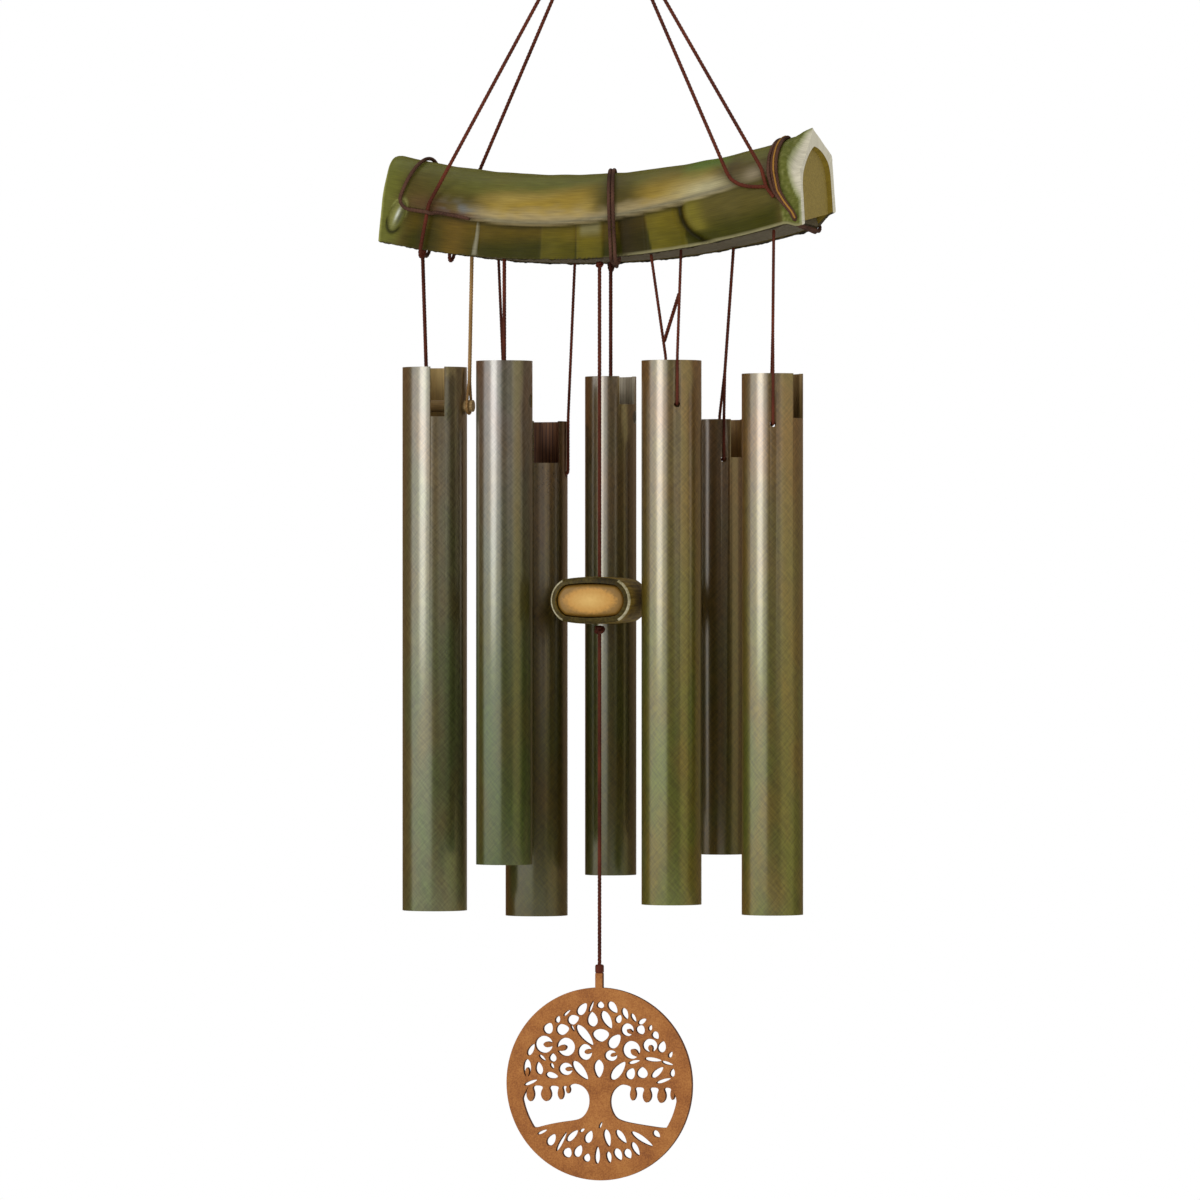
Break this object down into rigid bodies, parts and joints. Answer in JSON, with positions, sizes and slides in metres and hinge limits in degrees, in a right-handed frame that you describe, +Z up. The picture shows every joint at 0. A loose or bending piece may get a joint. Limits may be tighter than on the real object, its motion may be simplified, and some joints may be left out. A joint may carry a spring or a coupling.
{
  "type": "bamboo wind chime",
  "caption": "Wind chime with a curved bamboo header hung by cords from a ring, metal tubes on cords, a central clapper and a round sail pierced as a tree.",
  "frame": {"origin": "inside top of the hanging ring, where a hook bears", "axes": "+Z up, +X along the header to its cut end, -Y to the front"},
  "size_m": [0.2223, 0.0727, 0.686],
  "materials": {
    "steel_wire": "satin",
    "red_brown_cord": "matte twisted cord",
    "bamboo_skin": "satin natural bamboo",
    "bamboo_wood": "matte raw wood",
    "tan_cord": "matte twisted cord",
    "bronzed_tube": "brushed olive bronze",
    "dowel_wood": "matte raw wood",
    "clapper_bamboo": "satin dark bamboo",
    "clapper_wood": "matte pale wood",
    "rust_plate": "matte rust"
  },
  "bodies": {
    "ring": {"hang_ring": "steel_wire"},
    "header_group": {"gather_knot": "red_brown_cord", "left_front_hanger": "red_brown_cord", "left_back_hanger": "red_brown_cord", "right_inner_hanger": "red_brown_cord", "right_outer_hanger": "red_brown_cord", "header": "bamboo_skin", "cord_bar": "bamboo_wood", "left_lashing": "red_brown_cord", "centre_lashing": "red_brown_cord", "right_lashing": "red_brown_cord", "tube_1_side_knot": "tan_cord", "clapper_top_knot": "red_brown_cord", "tube_1_knot": "red_brown_cord", "tube_2_knot": "red_brown_cord", "tube_3_knot": "red_brown_cord", "tube_3_second_knot": "red_brown_cord", "tube_4_knot": "red_brown_cord", "tube_5_knot": "red_brown_cord", "tube_5_second_knot": "red_brown_cord", "tube_6_knot": "red_brown_cord", "tube_7_knot": "red_brown_cord"},
    "tube_1_cord_group": {"tube_1_cord": "red_brown_cord", "tube_1_side_cord": "tan_cord"},
    "tube_1_group": {"tube_1": "bronzed_tube", "tube_1_dowel": "dowel_wood"},
    "tube_2_cord_group": {"tube_2_cord": "red_brown_cord"},
    "tube_2_group": {"tube_2": "bronzed_tube", "tube_2_dowel": "dowel_wood"},
    "tube_3_cord_group": {"tube_3_cord": "red_brown_cord"},
    "tube_3_group": {"tube_3": "bronzed_tube"},
    "tube_4_cord_group": {"tube_4_cord": "red_brown_cord"},
    "tube_4_group": {"tube_4": "bronzed_tube", "tube_4_dowel": "dowel_wood"},
    "tube_5_cord_group": {"tube_5_cord": "red_brown_cord", "tube_5_tie": "red_brown_cord"},
    "tube_5_group": {"tube_5": "bronzed_tube"},
    "tube_6_cord_group": {"tube_6_cord": "red_brown_cord"},
    "tube_6_group": {"tube_6": "bronzed_tube"},
    "tube_7_cord_group": {"tube_7_cord": "red_brown_cord"},
    "tube_7_group": {"tube_7": "bronzed_tube"},
    "clapper_knot_group": {"clapper_upper_knot": "red_brown_cord"},
    "clapper_group": {"clapper_cord": "red_brown_cord", "clapper_sleeve": "clapper_bamboo", "clapper_core": "clapper_wood", "clapper_lower_knot": "red_brown_cord"},
    "sail_cord_group": {"sail_cord": "red_brown_cord"},
    "sail_group": {"sail": "rust_plate", "sail_ferrule": "red_brown_cord"}
  },
  "joints": [
    {"name": "chime_sway", "type": "hinge", "parent": "ring", "child": "header_group", "pos_m": [0, 0, -0.0225], "axis": [1, 0, 0], "range_deg": [-20, 20]},
    {"name": "tube_1_swing", "type": "hinge", "parent": "header_group", "child": "tube_1_cord_group", "pos_m": [-0.0935, 0, -0.21771], "axis": [1, 0, 0], "range_deg": [-3, 3]},
    {"name": "tube_1_rock", "type": "hinge", "parent": "tube_1_cord_group", "child": "tube_1_group", "pos_m": [-0.087, 0, -0.2965], "axis": [1, 0, 0], "range_deg": [-4, 4]},
    {"name": "tube_2_swing", "type": "hinge", "parent": "header_group", "child": "tube_2_cord_group", "pos_m": [-0.0445, -0.02, -0.22399], "axis": [0, 1, 0], "range_deg": [-1.5, 2]},
    {"name": "tube_2_rock", "type": "hinge", "parent": "tube_2_cord_group", "child": "tube_2_group", "pos_m": [-0.0445, -0.02, -0.2947], "axis": [-1, 0, 0], "range_deg": [-0.8, 6]},
    {"name": "tube_3_swing", "type": "hinge", "parent": "header_group", "child": "tube_3_cord_group", "pos_m": [-0.0195, 0.02, -0.22501], "axis": [1, 0, 0], "range_deg": [-0.6, 4]},
    {"name": "tube_3_rock", "type": "hinge", "parent": "tube_3_cord_group", "child": "tube_3_group", "pos_m": [-0.0395, 0.02, -0.3311], "axis": [1, 0, 0], "range_deg": [-0.6, 5]},
    {"name": "tube_4_swing", "type": "hinge", "parent": "header_group", "child": "tube_4_cord_group", "pos_m": [-0.0007, 0.02, -0.22482], "axis": [0, -1, 0], "range_deg": [-0.8, 3]},
    {"name": "tube_4_rock", "type": "hinge", "parent": "tube_4_cord_group", "child": "tube_4_group", "pos_m": [-0.0007, 0.02, -0.3023], "axis": [1, 0, 0], "range_deg": [-0.5, 6]},
    {"name": "tube_5_swing", "type": "hinge", "parent": "header_group", "child": "tube_5_cord_group", "pos_m": [0.047, -0.02, -0.22069], "axis": [-1, 0, 0], "range_deg": [-0.6, 5]},
    {"name": "tube_5_rock", "type": "hinge", "parent": "tube_5_cord_group", "child": "tube_5_group", "pos_m": [0.0421, -0.02, -0.2972], "axis": [0.4384, -0.8988, 0], "range_deg": [-0.6, 6]},
    {"name": "tube_6_swing", "type": "hinge", "parent": "header_group", "child": "tube_6_cord_group", "pos_m": [0.0632, 0.02, -0.21808], "axis": [1, 0, 0], "range_deg": [-1, 5]},
    {"name": "tube_6_rock", "type": "hinge", "parent": "tube_6_cord_group", "child": "tube_6_group", "pos_m": [0.0571, 0.02, -0.3237], "axis": [0.342, -0.9397, 0], "range_deg": [-1, 6]},
    {"name": "tube_7_swing", "type": "hinge", "parent": "header_group", "child": "tube_7_cord_group", "pos_m": [0.09455, -0.02, -0.21124], "axis": [-1, 0, 0], "range_deg": [-2, 5]},
    {"name": "tube_7_rock", "type": "hinge", "parent": "tube_7_cord_group", "child": "tube_7_group", "pos_m": [0.09385, -0.02, -0.3072], "axis": [0.2756, -0.9613, 0], "range_deg": [-2, 6]},
    {"name": "clapper_side_swing", "type": "hinge", "parent": "header_group", "child": "clapper_knot_group", "pos_m": [0.0035, -0.015, -0.22687], "axis": [0, 1, 0], "range_deg": [-0.5, 3]},
    {"name": "clapper_front_swing", "type": "hinge", "parent": "clapper_knot_group", "child": "clapper_group", "pos_m": [0.0035, -0.015, -0.22687], "axis": [-1, 0, 0], "range_deg": [-0.6, 8]},
    {"name": "sail_swing", "type": "hinge", "parent": "clapper_group", "child": "sail_cord_group", "pos_m": [0.0035, -0.015, -0.41182], "axis": [-1, 0, 0], "range_deg": [-4, 15]},
    {"name": "sail_spin", "type": "hinge", "parent": "sail_cord_group", "child": "sail_group", "pos_m": [0.0035, -0.015, -0.5798], "axis": [0, 0, 1], "continuous": true}
  ]
}
